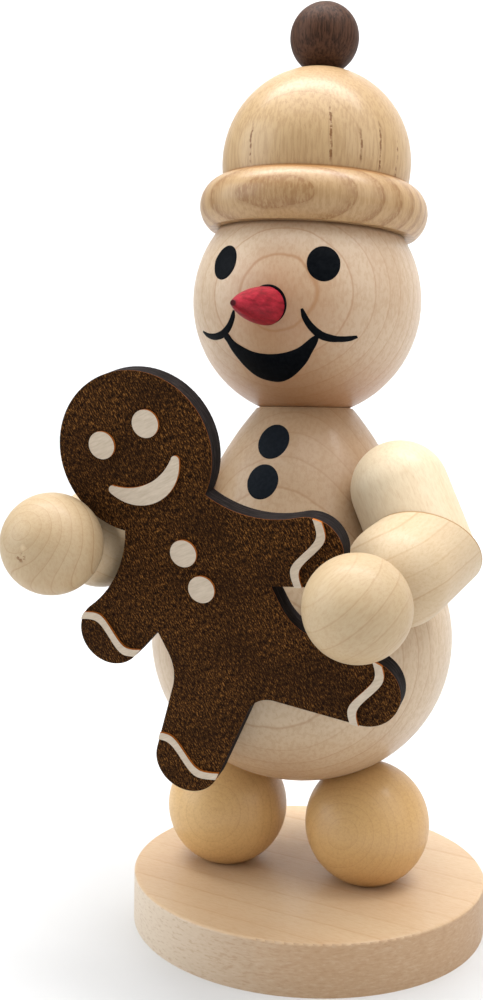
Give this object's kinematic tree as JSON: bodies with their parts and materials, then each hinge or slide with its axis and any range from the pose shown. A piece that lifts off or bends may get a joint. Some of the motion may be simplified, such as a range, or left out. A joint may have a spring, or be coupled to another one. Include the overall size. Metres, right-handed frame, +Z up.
{
  "type": "wooden snowman figure",
  "caption": "Turned wooden snowman with a bobble hat and a red cone nose, holding a flat gingerbread figure, on a round wooden base.",
  "frame": {"origin": "centre of the base's underside", "axes": "+Z up, the figure faces -Y, its left side is +X"},
  "size_m": [0.0509, 0.0607, 0.1198],
  "materials": {
    "base_wood": "satin lacquer",
    "body_wood": "gloss lacquer",
    "arm_wood": "satin",
    "foot_wood": "satin lacquer",
    "hat_wood": "gloss lacquer",
    "pompom_wood": "satin",
    "nose_red": "matte stain",
    "dowel_wood": "raw",
    "burnt_board": "laser-burnt, matte"
  },
  "bodies": {
    "figure": {"base_plate": "base_wood", "foot_left": "foot_wood", "foot_right": "foot_wood", "leg_dowel_left": "dowel_wood", "leg_dowel_right": "dowel_wood", "body": "body_wood", "neck_dowel": "dowel_wood", "shoulder_pin_left": "dowel_wood", "shoulder_pin_right": "dowel_wood", "upper_arm_left": "arm_wood", "upper_arm_right": "arm_wood", "forearm_left": "arm_wood", "forearm_right": "arm_wood", "wrist_pin_left": "dowel_wood", "wrist_pin_right": "dowel_wood", "hand_left": "arm_wood", "hand_right": "arm_wood", "gingerbread": "burnt_board"},
    "head_group": {"head": "body_wood", "nose": "nose_red", "hat_dowel": "dowel_wood", "hat": "hat_wood", "pompom_dowel": "dowel_wood", "pompom": "pompom_wood"}
  },
  "joints": [
    {"name": "head_turn", "type": "hinge", "parent": "figure", "child": "head_group", "pos_m": [-0.00145, -0.0004, 0.068], "axis": [0, 0, 1], "continuous": true}
  ]
}
